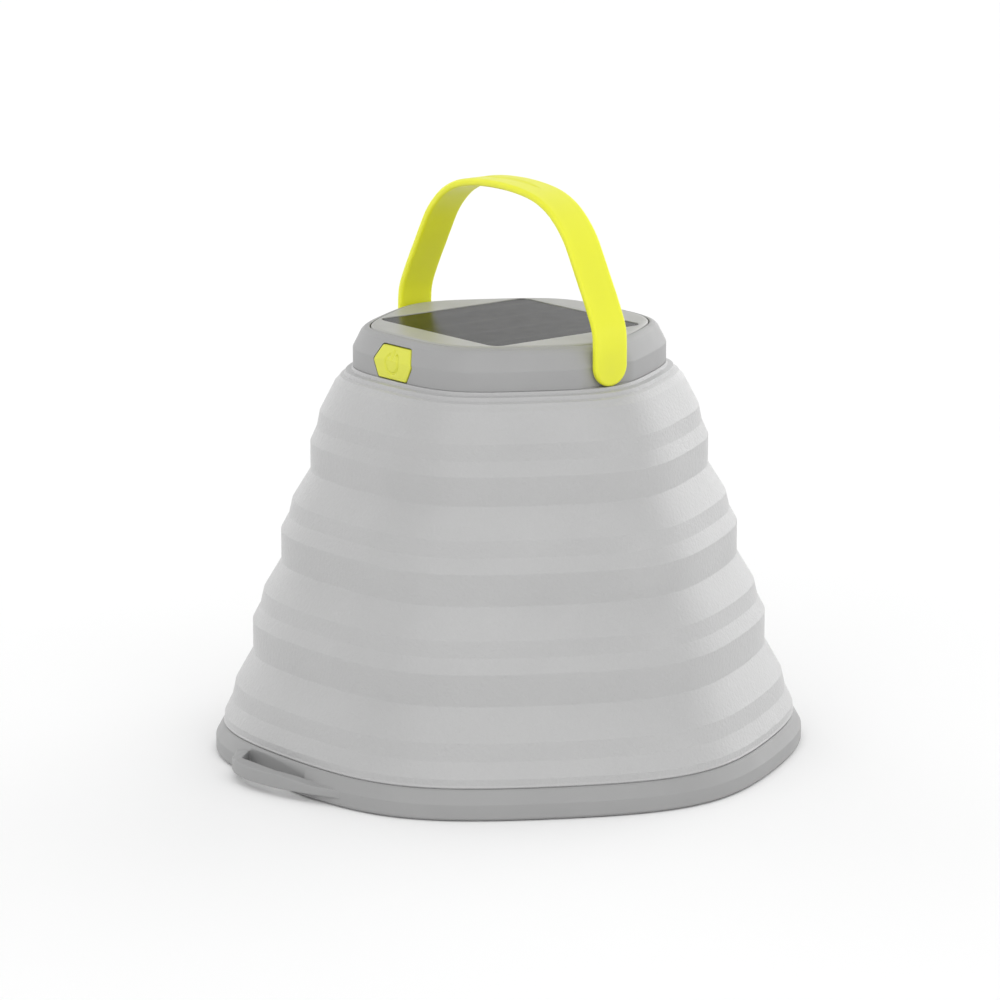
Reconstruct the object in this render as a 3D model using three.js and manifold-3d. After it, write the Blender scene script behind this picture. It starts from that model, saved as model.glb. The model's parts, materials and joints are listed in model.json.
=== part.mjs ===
// Collapsible camping lantern: a solar head on a silicone bellows that folds flat into a wide base.
// Millimetres, +Z up. The origin is the centre of the base's underside. +X and -X point at the two corners
// of the six-sided plan that carry the handle, and -Y points at the side with the power button.
import * as THREE from "three";
import { mergeVertices } from "three/addons/utils/BufferGeometryUtils.js";
import Module from "manifold-3d";

const wasm = await Module();
wasm.setup();

// ---------------------------------------------------------------- driving dimensions
// Every radius of a six-sided piece is its corner radius, measured along X.
const BASE_RADIUS = 75.4;
const BASE_HEIGHT = 7.4;
const BASE_SQUARENESS = 6.6; // power of the plan outline at the base: higher is closer to a sharp hexagon
const COLLAR_SQUARENESS = 7.6; // the same at the top of the bellows
const HEAD_SQUARENESS = 8.2; // and at the head
const HEAD_RADIUS = 39.8;
const HEAD_Z = 98.9; // underside of the head housing
const HEAD_HEIGHT = 10.5;
const PLATE_RADIUS = 35.2;
const FACET = 37.9; // the two corners that carry the handle are cut flat at this distance along X
const PANEL_SIDE = 47.2;
const PANEL_CORNER = 2.8;
const SKIN = 1.3; // radial thickness of the silicone
const GAP = 0.3; // air between pieces that touch

// Vertical bands of the bellows, from the lowest to the highest: corner radius, lower and upper edge.
const BANDS = [
  { radius: 65.7, low: 26.0, high: 34.0 },
  { radius: 58.3, low: 49.3, high: 57.3 },
  { radius: 50.7, low: 72.6, high: 79.9 },
];
const FOOT_TOP = { radius: 73.1, z: 9.75 };
const COLLAR_BOTTOM = { radius: 44.4, z: 95.0 };
// A folding section steps out on the way down: shares of its height and of its step at each crease.
const FOLD_CREASES = [
  [0, 0],
  [0.49, 0.61],
  [0.76, 0.74],
  [1, 1],
];

const BASE_SCREW_CORNER_RADIUS = 69.7;
const BASE_SCREWS = 6;
const HEAD_SCREW_RADIUS = 35.4;
const HEAD_SCREW_ANGLES = [60, 120, 240, 300];
const SCREW = { shank: 0.9, head: 1.85, headHeight: 0.9, hole: 1.25 };

const STRAP_WIDTH = 10.2;
const STRAP_THICKNESS = 1.9;
const PIVOT_Z = 5.2; // above the underside of the head
const STRAP_END_RADIUS = STRAP_WIDTH / 2;
const PIN_RADIUS = 1.6;
const PIN_NECK_RADIUS = 1.0;

const BUTTON = { halfLength: 7.5, halfFlat: 5.5, halfHeight: 4.0, z: 4.3, back: 34.8, proud: 0.25 };
const COVER = { halfWidth: 6.7, low: 1.1, high: 6.3, back: 36.5, proud: 0.25 };
// The hanging lug leaves the ring sharply at its left and runs back into it slowly at its right.
const LUG = { low: 2.0, high: 5.7, barY: -78.6, rootY: -71.0, rootLeft: -22.5, rootRight: 21 };
const LUG_WINDOW = {
  back: { left: -16.6, right: 8, y: -70.2 },
  bar: { left: -12.7, right: 1.6, y: -75.3 },
  top: 6.8,
};

const FINE = 36; // segments round the outer pieces
const COARSE = 24; // segments round the inner pieces
const ROUND = 16; // segments round pins and pin holes
const SMALL = 10; // segments round screws and screw holes

// ---------------------------------------------------------------- materials
const finish = (color, roughness, metalness = 0) =>
  new THREE.MeshStandardMaterial({ color, roughness, metalness });
const MATERIALS = {
  greyPlastic: finish(0xa6a6a4, 0.42),
  palePlastic: finish(0xb9b9b4, 0.22),
  yellow: finish(0xefef5c, 0.38),
  silicone: finish(0xbcbcba, 0.6),
  panel: finish(0x6a6b6a, 0.15),
  rubber: finish(0x8d8d8a, 0.75),
  whitePlastic: finish(0xe8e8e4, 0.5),
  frosted: finish(0xf2f2ee, 0.35),
  steel: finish(0xb4b6b8, 0.35, 1),
  aluminium: finish(0xd8dadb, 0.4, 1),
  board: finish(0x1f6b3a, 0.5),
  black: finish(0x202021, 0.5),
  foil: finish(0xc9ccd0, 0.3, 0.6),
  phosphor: finish(0xe9d94f, 0.4),
};

// ---------------------------------------------------------------- solids
// Turns a closed three.js geometry into a solid, dropping the collapsed triangles at its poles.
function solid(geometry) {
  const bare = geometry.clone();
  bare.deleteAttribute("normal");
  bare.deleteAttribute("uv");
  const merged = mergeVertices(bare, 1e-4);
  const positions = merged.attributes.position.array;
  const all = merged.index.array;
  const kept = [];
  for (let i = 0; i < all.length; i += 3) {
    const [a, b, c] = [all[i], all[i + 1], all[i + 2]];
    if (a !== b && b !== c && a !== c) kept.push(a, b, c);
  }
  if (signedVolume(positions, kept) < 0) kept.reverse();
  return new wasm.Manifold(
    new wasm.Mesh({
      numProp: 3,
      vertProperties: new Float32Array(positions),
      triVerts: new Uint32Array(kept),
    }),
  );
}

function signedVolume(positions, triangles) {
  const corner = (i) => new THREE.Vector3().fromArray(positions, 3 * triangles[i]);
  let volume = 0;
  for (let i = 0; i < triangles.length; i += 3) {
    volume += corner(i).dot(corner(i + 1).cross(corner(i + 2))) / 6;
  }
  return volume;
}

// Turns a solid back into a geometry with flat faces.
function geometryOf(made) {
  const mesh = made.getMesh();
  const geometry = new THREE.BufferGeometry();
  const positions = new Float32Array(mesh.numVert * 3);
  for (let i = 0; i < mesh.numVert; i++) {
    positions.set(mesh.vertProperties.subarray(i * mesh.numProp, i * mesh.numProp + 3), i * 3);
  }
  geometry.setAttribute("position", new THREE.BufferAttribute(positions, 3));
  geometry.setIndex(new THREE.BufferAttribute(mesh.triVerts, 1));
  const flat = geometry.toNonIndexed();
  flat.computeVertexNormals();
  return flat;
}

function piece(name, made, material, position = [0, 0, 0]) {
  const mesh = new THREE.Mesh(geometryOf(made), material);
  mesh.name = name;
  mesh.position.set(...position);
  return mesh;
}

// ---------------------------------------------------------------- the six-sided plan
// Distance from the axis to the outline at an angle, as a share of its corner radius.
function planShare(angle, squareness) {
  let sum = 0;
  for (let side = 0; side < 6; side++) {
    const towardSide = Math.cos(angle - Math.PI / 6 - (side * Math.PI) / 3);
    if (towardSide > 0) sum += towardSide ** squareness;
  }
  const atCorner = 2 * Math.cos(Math.PI / 6) ** squareness;
  return (atCorner / sum) ** (1 / squareness);
}

const baseShape = () => BASE_SQUARENESS;
const headShape = () => HEAD_SQUARENESS;
const bellowsShape = (z) => THREE.MathUtils.lerp(BASE_SQUARENESS, COLLAR_SQUARENESS, z / HEAD_Z);
const flatShare = (squareness) => planShare(Math.PI / 6, squareness);

// Turns a profile of [corner radius, z] points round Z and squeezes each level into the six-sided plan.
function sixSided(profile, squarenessAt, segments = FINE) {
  const points = profile.map(([radius, z]) => new THREE.Vector2(radius, z));
  if (profile[0][0] > 0) points.push(points[0].clone());
  const geometry = new THREE.LatheGeometry(points, segments);
  geometry.rotateX(Math.PI / 2);
  const position = geometry.attributes.position;
  for (let i = 0; i < position.count; i++) {
    const angle = Math.atan2(position.getY(i), position.getX(i));
    const share = planShare(angle, squarenessAt(position.getZ(i)));
    position.setXY(i, position.getX(i) * share, position.getY(i) * share);
  }
  return solid(geometry);
}

function turned(profile, segments = ROUND) {
  const points = profile.map(([radius, z]) => new THREE.Vector2(radius, z));
  if (profile[0][0] > 0) points.push(points[0].clone());
  const geometry = new THREE.LatheGeometry(points, segments);
  geometry.rotateX(Math.PI / 2);
  return solid(geometry);
}

function rod(radius, low, high, x = 0, y = 0, segments = ROUND) {
  const geometry = new THREE.CylinderGeometry(radius, radius, high - low, segments);
  geometry.rotateX(Math.PI / 2);
  geometry.translate(x, y, (low + high) / 2);
  return solid(geometry);
}

// A rod along X between two places.
function crossRod(radius, from, to, z) {
  const geometry = new THREE.CylinderGeometry(radius, radius, Math.abs(to - from), ROUND);
  geometry.rotateZ(Math.PI / 2);
  geometry.translate((from + to) / 2, 0, z);
  return solid(geometry);
}

function box(low, high) {
  const size = high.map((value, i) => value - low[i]);
  const geometry = new THREE.BoxGeometry(...size);
  geometry.translate(...low.map((value, i) => value + size[i] / 2));
  return solid(geometry);
}

// An outline in the XY plane carried from one height to another.
function upright(points, low, high) {
  const shape = new THREE.Shape(points.map(([x, y]) => new THREE.Vector2(x, y)));
  const geometry = new THREE.ExtrudeGeometry(shape, { depth: high - low, bevelEnabled: false });
  geometry.translate(0, 0, low);
  return solid(geometry);
}

// An outline in the XZ plane carried along Y, from the smaller Y to the larger.
function sideways(points, near, far) {
  const shape = new THREE.Shape(points.map(([x, z]) => new THREE.Vector2(x, z)));
  const geometry = new THREE.ExtrudeGeometry(shape, { depth: far - near, bevelEnabled: false });
  geometry.rotateX(Math.PI / 2);
  geometry.translate(0, far, 0);
  return solid(geometry);
}

function roundedSquare(side, radius, low, high) {
  const half = side / 2;
  const inner = half - radius;
  const shape = new THREE.Shape();
  shape.moveTo(half, -inner);
  shape.lineTo(half, inner);
  shape.absarc(inner, inner, radius, 0, Math.PI / 2);
  shape.absarc(-inner, inner, radius, Math.PI / 2, Math.PI);
  shape.absarc(-inner, -inner, radius, Math.PI, 1.5 * Math.PI);
  shape.absarc(inner, -inner, radius, 1.5 * Math.PI, 2 * Math.PI);
  const options = { depth: high - low, bevelEnabled: false, curveSegments: 5 };
  const geometry = new THREE.ExtrudeGeometry(shape, options);
  geometry.translate(0, 0, low);
  return solid(geometry);
}

const subtractAll = (from, cutters) => cutters.reduce((left, cutter) => left.subtract(cutter), from);

function around(count, radius, firstDegrees = 0) {
  return Array.from({ length: count }, (_, i) => {
    const angle = THREE.MathUtils.degToRad(firstDegrees + (i * 360) / count);
    return [radius * Math.cos(angle), radius * Math.sin(angle)];
  });
}

// ---------------------------------------------------------------- screws
function screwSolid(length) {
  const { shank, head, headHeight } = SCREW;
  return turned([
    [0, 0],
    [head, 0],
    [head, headHeight],
    [shank, headHeight],
    [shank, headHeight + length],
    [0, headHeight + length],
  ], SMALL);
}

// ---------------------------------------------------------------- base
const baseFlat = flatShare(BASE_SQUARENESS);
const baseScrewPlaces = around(BASE_SCREWS, BASE_SCREW_CORNER_RADIUS * baseFlat, 30);
const shelfUnderside = 5.6;
const shelfRadius = 66.9;

function baseRing() {
  const inner = BASE_RADIUS - 3.2;
  const shell = sixSided([
    [BASE_RADIUS - 0.6, 0],
    [BASE_RADIUS, 0.6],
    [BASE_RADIUS, 4.0],
    [BASE_RADIUS - 0.3, 4.5],
    [BASE_RADIUS - 1.7, 7.0],
    [BASE_RADIUS - 2.2, BASE_HEIGHT],
    [shelfRadius, BASE_HEIGHT],
    [shelfRadius, shelfUnderside],
    [inner - 0.6, shelfUnderside],
    [inner, 5.0],
    [inner, 0],
  ], baseShape);
  const posts = baseScrewPlaces.map(([x, y]) => rod(2.7, 2.1, 5.8, x, y, 12));
  const loop = upright([
    [LUG.rootLeft, LUG.rootY],
    [-15.5, -76.3],
    [-10.5, -78.3],
    [-6, LUG.barY],
    [1, LUG.barY + 0.3],
    [10, -75.9],
    [LUG.rootRight, LUG.rootY],
  ], LUG.low, LUG.high);
  const { back, bar, top } = LUG_WINDOW;
  const window = upright([
    [back.left, back.y],
    [bar.left, bar.y],
    [bar.right, bar.y],
    [back.right, back.y],
  ], -1, top);
  const joined = [...posts, loop].reduce((sum, added) => sum.add(added), shell);
  const holes = baseScrewPlaces.map(([x, y]) => rod(SCREW.hole, 1, 9, x, y, SMALL));
  return subtractAll(joined, [window, ...holes]);
}

function basePlate() {
  const plate = sixSided([
    [0, 0],
    [BASE_RADIUS - 3.9, 0],
    [BASE_RADIUS - 3.6, 0.3],
    [BASE_RADIUS - 3.6, 1.8],
    [0, 1.8],
  ], baseShape);
  const holes = baseScrewPlaces.map(([x, y]) => rod(SCREW.hole, -1, 3, x, y, SMALL));
  const counterbores = baseScrewPlaces.map(([x, y]) => rod(SCREW.head + 0.35, -1, 1.15, x, y, SMALL));
  return subtractAll(plate, [...holes, ...counterbores]);
}

function baseClampRing() {
  const ring = sixSided([
    [68.0, 9.3],
    [71.1, 9.3],
    [71.1, 10.5],
    [68.0, 10.5],
  ], baseShape, COARSE);
  return subtractAll(ring, baseScrewPlaces.map(([x, y]) => rod(SCREW.hole, 8, 12, x, y, SMALL)));
}

function makeBase() {
  const base = new THREE.Group();
  base.add(piece("base_ring", baseRing(), MATERIALS.greyPlastic));
  base.add(piece("base_plate", basePlate(), MATERIALS.greyPlastic));
  base.add(piece("base_clamp_ring", baseClampRing(), MATERIALS.whitePlastic));
  baseScrewPlaces.forEach(([x, y], i) => {
    base.add(piece(`base_screw_${i + 1}`, screwSolid(8.6), MATERIALS.steel, [x, y, 0.1]));
  });
  return base;
}

// ---------------------------------------------------------------- bellows
// A thin skin with the given outer line, from its lower end to its upper end.
function skin(outer) {
  const inner = outer.map(([radius, z]) => [radius - SKIN, z]).reverse();
  return sixSided([...outer, ...inner], bellowsShape);
}

function foldLine(upper, lower) {
  const top = upper.z - GAP / 2;
  const bottom = lower.z + GAP / 2;
  const line = FOLD_CREASES.map(([down, out]) => [
    upper.radius + (lower.radius - upper.radius) * out,
    top + (bottom - top) * down,
  ]);
  return line.reverse();
}

function bellowsFoot() {
  const { radius, z } = FOOT_TOP;
  const foot = sixSided([
    [67.2, 7.7],
    [73.4, 7.7],
    [73.6, 8.4],
    [radius, z],
    [radius - SKIN, z],
    [radius - SKIN - 0.3, 9.0],
    [67.2, 9.0],
  ], bellowsShape);
  return subtractAll(foot, baseScrewPlaces.map(([x, y]) => rod(SCREW.hole, 7, 10, x, y, SMALL)));
}

const headScrewPlaces = HEAD_SCREW_ANGLES.map((degrees) => {
  const angle = THREE.MathUtils.degToRad(degrees);
  return [HEAD_SCREW_RADIUS * Math.cos(angle), HEAD_SCREW_RADIUS * Math.sin(angle)];
});

function bellowsCollar() {
  const { radius, z } = COLLAR_BOTTOM;
  const collar = sixSided([
    [33, 97.4],
    [40.2, 97.4],
    [radius - 2.4, 96.2],
    [radius - SKIN, z],
    [radius, z],
    [radius - 0.9, 95.9],
    [radius - 1.4, 96.6],
    [radius - 2.4, 97.0],
    [radius - 2.7, 98.0],
    [radius - 3.5, 98.6],
    [33, 98.6],
  ], bellowsShape);
  return subtractAll(collar, headScrewPlaces.map(([x, y]) => rod(SCREW.hole, 96, 100, x, y, SMALL)));
}

function makeBellows() {
  const bellows = new THREE.Group();
  bellows.add(piece("bellows_foot", bellowsFoot(), MATERIALS.silicone));
  BANDS.forEach(({ radius, low, high }, i) => {
    const made = skin([
      [radius, low + GAP / 2],
      [radius, high - GAP / 2],
    ]);
    bellows.add(piece(`bellows_band_${i + 1}`, made, MATERIALS.silicone));
  });
  const lowerEnds = [FOOT_TOP, ...BANDS.map(({ radius, high }) => ({ radius, z: high }))];
  const upperEnds = [...BANDS.map(({ radius, low }) => ({ radius, z: low })), COLLAR_BOTTOM];
  lowerEnds.forEach((lower, i) => {
    const made = skin(foldLine(upperEnds[i], lower));
    bellows.add(piece(`bellows_fold_${i + 1}`, made, MATERIALS.silicone));
  });
  bellows.add(piece("bellows_collar", bellowsCollar(), MATERIALS.silicone));
  return bellows;
}

// ---------------------------------------------------------------- head (heights from its underside)
const HOUSING_OUTER = [
  [HEAD_RADIUS - 0.5, 0],
  [HEAD_RADIUS, 0.5],
  [HEAD_RADIUS, 5.0],
  [HEAD_RADIUS - 2.1, 9.1],
  [HEAD_RADIUS - 2.8, 9.8],
  [HEAD_RADIUS - 3.8, 10.2],
];
const LEDGE_TOP = 7.6;
const LEDGE_RADIUS = 33.5;

// The housing's outer form as a full solid, made larger by a little on every side.
function housingForm(larger) {
  const outer = HOUSING_OUTER.map(([radius, z]) => [radius + larger, z]);
  return sixSided([[0, 0], ...outer, [0, HEAD_HEIGHT - 0.3]], headShape);
}

function buttonOutline(larger) {
  const { halfLength, halfFlat, halfHeight, z } = BUTTON;
  const long = halfLength + larger * 1.2;
  const flat = halfFlat + larger * 0.6;
  const tall = halfHeight + larger;
  return [[long, z], [flat, z + tall], [-flat, z + tall], [-long, z], [-flat, z - tall], [flat, z - tall]];
}

// A block across one of the two handle corners, from one distance along X to another.
function cornerBlock(side, from, to, height) {
  const [low, high] = [side * from, side * to].sort((a, b) => a - b);
  return box([low, -9.5, -0.5], [high, 9.5, height]);
}

const PAD_INNER = 35.9; // inner face of the thick wall behind each facet

const buttonPocket = () => sideways(buttonOutline(0.35), -45, -33.9);

function headHousing() {
  const shell = sixSided([
    ...HOUSING_OUTER,
    [PLATE_RADIUS + GAP, 10.0],
    [PLATE_RADIUS + GAP, LEDGE_TOP],
    [LEDGE_RADIUS, LEDGE_TOP],
    [LEDGE_RADIUS, 6.4],
    [HEAD_RADIUS - 2.6, 6.0],
    [HEAD_RADIUS - 1.8, 4.6],
    [HEAD_RADIUS - 1.8, 0],
  ], headShape);
  const pads = [-1, 1].map((side) => cornerBlock(side, PAD_INNER, 45, 7).intersect(housingForm(0)));
  const facets = [-1, 1].map((side) => cornerBlock(side, FACET, 45, 20));
  const posts = headScrewPlaces.map(([x, y]) => rod(2.4, 2.2, 7.0, x, y, 12));
  const joined = [...posts, ...pads].reduce((sum, added) => sum.add(added), shell);
  const screwHoles = headScrewPlaces.map(([x, y]) => rod(SCREW.hole, 1, 5.6, x, y, SMALL));
  const coverPocket = box(
    [-COVER.halfWidth - GAP, COVER.back - GAP, COVER.low - GAP],
    [COVER.halfWidth + GAP, 45, COVER.high + GAP],
  );
  const portSlot = box([-5.1, 33.5, 1.8], [5.1, 45, 5.9]);
  const pinHoles = [-1, 1].map((side) => crossRod(PIN_RADIUS + GAP, side * 32.6, side * 43, PIVOT_Z));
  return subtractAll(joined, [...facets, ...screwHoles, buttonPocket(), coverPocket, portSlot, ...pinHoles]);
}

function topPlate() {
  const plate = sixSided([
    [0, LEDGE_TOP],
    [LEDGE_RADIUS - GAP, LEDGE_TOP],
    [LEDGE_RADIUS - GAP, 8.8],
    [PLATE_RADIUS, 8.8],
    [PLATE_RADIUS, 10.0],
    [PLATE_RADIUS - 0.4, 10.3],
    [PLATE_RADIUS - 1.1, HEAD_HEIGHT],
    [0, HEAD_HEIGHT],
  ], headShape);
  const pocket = roundedSquare(PANEL_SIDE + 2 * GAP, PANEL_CORNER + GAP, 8.8, 12);
  return plate.subtract(pocket).subtract(rod(2, 7, 12, 0, 0, SMALL));
}

function headFloor() {
  const plate = sixSided([
    [0, 0.3],
    [HEAD_RADIUS - 2.1, 0.3],
    [HEAD_RADIUS - 2.1, 1.9],
    [0, 1.9],
  ], headShape);
  const holes = headScrewPlaces.map(([x, y]) => rod(SCREW.hole, -1, 3, x, y, SMALL));
  const wireHole = rod(2, -1, 3, 0, -8, SMALL);
  const padNotches = [-1, 1].map((side) => cornerBlock(side, PAD_INNER - GAP, 45, 7));
  return subtractAll(plate, [...holes, ...padNotches, wireHole, buttonPocket()]);
}

function headClampRing() {
  const ring = sixSided([
    [33, -3.2],
    [38, -3.2],
    [38, -1.8],
    [33, -1.8],
  ], headShape, COARSE);
  return subtractAll(ring, headScrewPlaces.map(([x, y]) => rod(SCREW.hole, -5, 0, x, y, SMALL)));
}

function ledDiffuser() {
  return turned([
    [0, -13],
    [12, -12.4],
    [20, -10],
    [25, -6.6],
    [27, -3.2],
    [30.2, -3.2],
    [30.2, -1.8],
    [25.8, -1.8],
    [25.8, -3.2],
    [23.8, -6.1],
    [19.2, -9],
    [11.6, -11.2],
    [0, -11.8],
  ], COARSE);
}

function makeLight() {
  const light = new THREE.Group();
  light.add(piece("led_board", rod(25.2, -1.5, 0, 0, 0, COARSE), MATERIALS.aluminium));
  around(6, 15, 0).forEach(([x, y], i) => {
    const chip = box([-1.75, -1.75, -2.8], [1.75, 1.75, -1.8]);
    light.add(piece(`led_${i + 1}`, chip, MATERIALS.phosphor, [x, y, 0]));
  });
  light.add(piece("led_diffuser", ledDiffuser(), MATERIALS.frosted));
  return light;
}

function powerButton() {
  const { back, proud, z } = BUTTON;
  const cap = sideways(buttonOutline(0), -45, -back).intersect(housingForm(proud));
  const flange = box([-9.2, -35.4, 2.3], [9.2, -back + 0.2, 4.4]);
  const stem = box([-1.6, -back - 0.5, z - 0.6], [1.6, -34.4, z + 0.9]);
  return cap.add(flange).add(stem);
}

function portCover() {
  const { halfWidth, low, high, back, proud } = COVER;
  return box([-halfWidth, back, low], [halfWidth, 45, high]).intersect(housingForm(proud));
}

function tactileSwitch() {
  const body = box([-3, -33.0, 3.7], [3, -30.0, 6.0]);
  const plunger = box([-1.1, -33.5, 4.0], [1.1, -32.8, 5.4]);
  return body.add(plunger);
}

function makeElectronics() {
  const electronics = new THREE.Group();
  electronics.add(piece("battery_cell", box([-24, -9.5, 2.2], [24, 19.5, 6.2]), MATERIALS.foil));
  electronics.add(piece("control_board", box([-13, -33.6, 2.2], [13, -10.5, 3.4]), MATERIALS.board));
  electronics.add(piece("button_switch", tactileSwitch(), MATERIALS.black));
  electronics.add(piece("port_board", box([-8, 21, 2.8], [8, 27.8, 3.8]), MATERIALS.board));
  const socket = box([-4.5, 28.1, 2.3], [4.5, 35.4, 5.5]).subtract(box([-3.9, 30, 2.8], [3.9, 37, 5.0]));
  electronics.add(piece("charge_port", socket, MATERIALS.steel));
  return electronics;
}

// A flat spring clip that drops over the neck of a handle pin, inside the housing.
function pinClip(side) {
  const plate = box([34.8, -2.8, 2.3], [35.6, 2.8, 6.0]);
  const slot = crossRod(PIN_NECK_RADIUS + GAP, 34, 36, PIVOT_Z);
  const mouth = box([34, -PIN_NECK_RADIUS - GAP, PIVOT_Z], [36, PIN_NECK_RADIUS + GAP, 7]);
  const made = plate.subtract(slot).subtract(mouth);
  return side > 0 ? made : made.rotate([0, 0, 180]);
}

// ---------------------------------------------------------------- handle (heights from its pivot line)
// Outer line of one half of the strap, from its lower end to the top of the arch.
const STRAP_LINE = [
  [40.1, -STRAP_END_RADIUS],
  [40.1, 0],
  [40.1, 6],
  [39.6, 9.6],
  [37.8, 13.7],
  [35.6, 17.9],
  [33.1, 22.4],
  [30.9, 26.4],
  [28.5, 30.5],
  [25.2, 34.3],
  [21.0, 37.6],
  [15.4, 40.0],
  [8.4, 41.2],
  [0, 41.6],
];

function handleStrap() {
  const outer = new THREE.SplineCurve([
    ...STRAP_LINE.map(([x, z]) => new THREE.Vector2(x, z)),
    ...STRAP_LINE.slice(0, -1).reverse().map(([x, z]) => new THREE.Vector2(-x, z)),
  ]);
  const steps = 40;
  const outerPoints = [];
  const innerPoints = [];
  for (let i = 0; i <= steps; i++) {
    const at = outer.getPoint(i / steps);
    const along = outer.getTangent(i / steps);
    outerPoints.push([at.x, at.y]);
    innerPoints.push([at.x - along.y * STRAP_THICKNESS, at.y + along.x * STRAP_THICKNESS]);
  }
  const half = STRAP_WIDTH / 2;
  const ribbon = sideways([...outerPoints, ...innerPoints.reverse()], -half, half);
  const ends = new THREE.Shape();
  ends.absarc(0, 0, STRAP_END_RADIUS, Math.PI, 2 * Math.PI);
  ends.lineTo(half, 60);
  ends.lineTo(-half, 60);
  const endForm = new THREE.ExtrudeGeometry(ends, { depth: 120, bevelEnabled: false, curveSegments: 10 });
  endForm.rotateX(Math.PI / 2);
  endForm.rotateZ(Math.PI / 2);
  endForm.translate(-60, 0, 0);
  const rounded = ribbon.intersect(solid(endForm));
  return [-1, 1].reduce((sum, side) => sum.add(handlePin(side)), rounded);
}

// The pin is part of the strap: it passes through the housing and has a neck for its clip.
function handlePin(side) {
  const barrel = crossRod(PIN_RADIUS, side * 36.0, side * 39.0, 0);
  const neck = crossRod(PIN_NECK_RADIUS, side * 34.2, side * 37, 0);
  const tip = crossRod(PIN_RADIUS, side * 33.4, side * 34.5, 0);
  return barrel.add(neck).add(tip);
}

function makeHead() {
  const head = new THREE.Group();
  head.position.z = HEAD_Z;
  head.add(piece("head_housing", headHousing(), MATERIALS.greyPlastic));
  head.add(piece("top_plate", topPlate(), MATERIALS.palePlastic));
  const seal = sixSided([[33.8, 7.9], [35.0, 7.9], [35.0, 8.5], [33.8, 8.5]], headShape, COARSE);
  head.add(piece("plate_seal", seal, MATERIALS.rubber));
  head.add(piece("solar_panel", roundedSquare(PANEL_SIDE, PANEL_CORNER, 9.1, 10.35), MATERIALS.panel));
  head.add(piece("head_floor", headFloor(), MATERIALS.whitePlastic));
  head.add(piece("head_clamp_ring", headClampRing(), MATERIALS.whitePlastic));
  headScrewPlaces.forEach(([x, y], i) => {
    head.add(piece(`head_screw_${i + 1}`, screwSolid(8.2), MATERIALS.steel, [x, y, -4.4]));
  });
  head.add(makeLight());
  head.add(makeElectronics());
  head.add(piece("pin_clip_right", pinClip(1), MATERIALS.steel));
  head.add(piece("pin_clip_left", pinClip(-1), MATERIALS.steel));
  head.add(piece("power_button", powerButton(), MATERIALS.yellow));
  head.add(piece("port_cover", portCover(), MATERIALS.rubber));
  const handle = new THREE.Group();
  handle.position.z = PIVOT_Z;
  handle.add(piece("handle_strap", handleStrap(), MATERIALS.yellow));
  head.add(handle);
  return head;
}

const lantern = new THREE.Group();
lantern.add(makeBase());
lantern.add(makeBellows());
lantern.add(makeHead());

export default lantern;
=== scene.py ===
"""Looks of a collapsible camping lantern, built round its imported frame.

Everything is in metres in the frame of the part: +Z up, the origin under the middle of the base,
+X and -X towards the two corners that carry the handle, -Y towards the power button.
"""
import json
import math

import bmesh
import bpy
import numpy as np
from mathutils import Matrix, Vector


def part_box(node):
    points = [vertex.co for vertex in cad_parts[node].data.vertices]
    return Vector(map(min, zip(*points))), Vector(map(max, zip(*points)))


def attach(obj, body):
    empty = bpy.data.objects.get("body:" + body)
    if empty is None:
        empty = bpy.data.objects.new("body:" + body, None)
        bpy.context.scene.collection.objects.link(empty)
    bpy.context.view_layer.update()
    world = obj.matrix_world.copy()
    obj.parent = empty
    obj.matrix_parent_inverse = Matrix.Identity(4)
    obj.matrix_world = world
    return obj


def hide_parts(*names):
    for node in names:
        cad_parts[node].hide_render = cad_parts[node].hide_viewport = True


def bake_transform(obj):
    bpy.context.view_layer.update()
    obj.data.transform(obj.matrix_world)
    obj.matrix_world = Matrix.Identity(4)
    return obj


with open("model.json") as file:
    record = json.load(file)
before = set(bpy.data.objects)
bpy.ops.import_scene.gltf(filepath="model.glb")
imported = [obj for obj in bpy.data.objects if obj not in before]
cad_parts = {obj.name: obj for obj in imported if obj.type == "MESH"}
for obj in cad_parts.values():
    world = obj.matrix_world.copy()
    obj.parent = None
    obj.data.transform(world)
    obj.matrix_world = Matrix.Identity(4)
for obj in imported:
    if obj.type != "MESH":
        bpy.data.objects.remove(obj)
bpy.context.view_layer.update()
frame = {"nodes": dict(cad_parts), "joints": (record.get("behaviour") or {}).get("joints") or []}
NODES = frame["nodes"]
MM = 0.001


def low_of(node):
    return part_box(node)[0]


def high_of(node):
    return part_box(node)[1]


def millimetres(*points):
    """The same points in metres. A third value of a point is the radius of its rounding."""
    return [tuple(value * MM for value in point) for point in points]


# ---------------------------------------------------------------- sizes
# Every radius of a six-sided piece is its corner radius, measured along X.
BASE_RADIUS = high_of("base_ring").x
BASE_SQUARENESS = 6.6  # power of the plan outline at the base: higher is closer to a sharp hexagon
COLLAR_SQUARENESS = 7.6  # the same at the top of the bellows
HEAD_SQUARENESS = 8.2  # and at the head
HEAD_Z = low_of("head_housing").z
HEAD_RADIUS = 39.8 * MM
FACET = high_of("head_housing").x  # the two handle corners are cut flat here
PAD_INNER = 35.9 * MM  # inner face of the thick wall behind each flat
SKIN = 1.3 * MM
BAND_GAP = 0.15 * MM  # half of the gap that the frame leaves between two parts of the bellows
FOOT_TOP_RADIUS = 73.1 * MM
FOLD_CREASES = [(0, 0), (0.49, 0.61), (0.76, 0.74), (1, 1)]  # shares of a fold's height and of its step

FINE_STEPS = 720  # points round the head
ROUND_STEPS = 360  # points round the base and the bellows

PIVOT = Vector(next(j["pos_m"] for j in frame["joints"] if j["name"] == "handle_swing"))
STRAP_THICKNESS = 1.9 * MM
STRAP_HALF_WIDTH = high_of("handle_strap").y
STRAP_EDGE = 0.75 * MM

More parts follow.
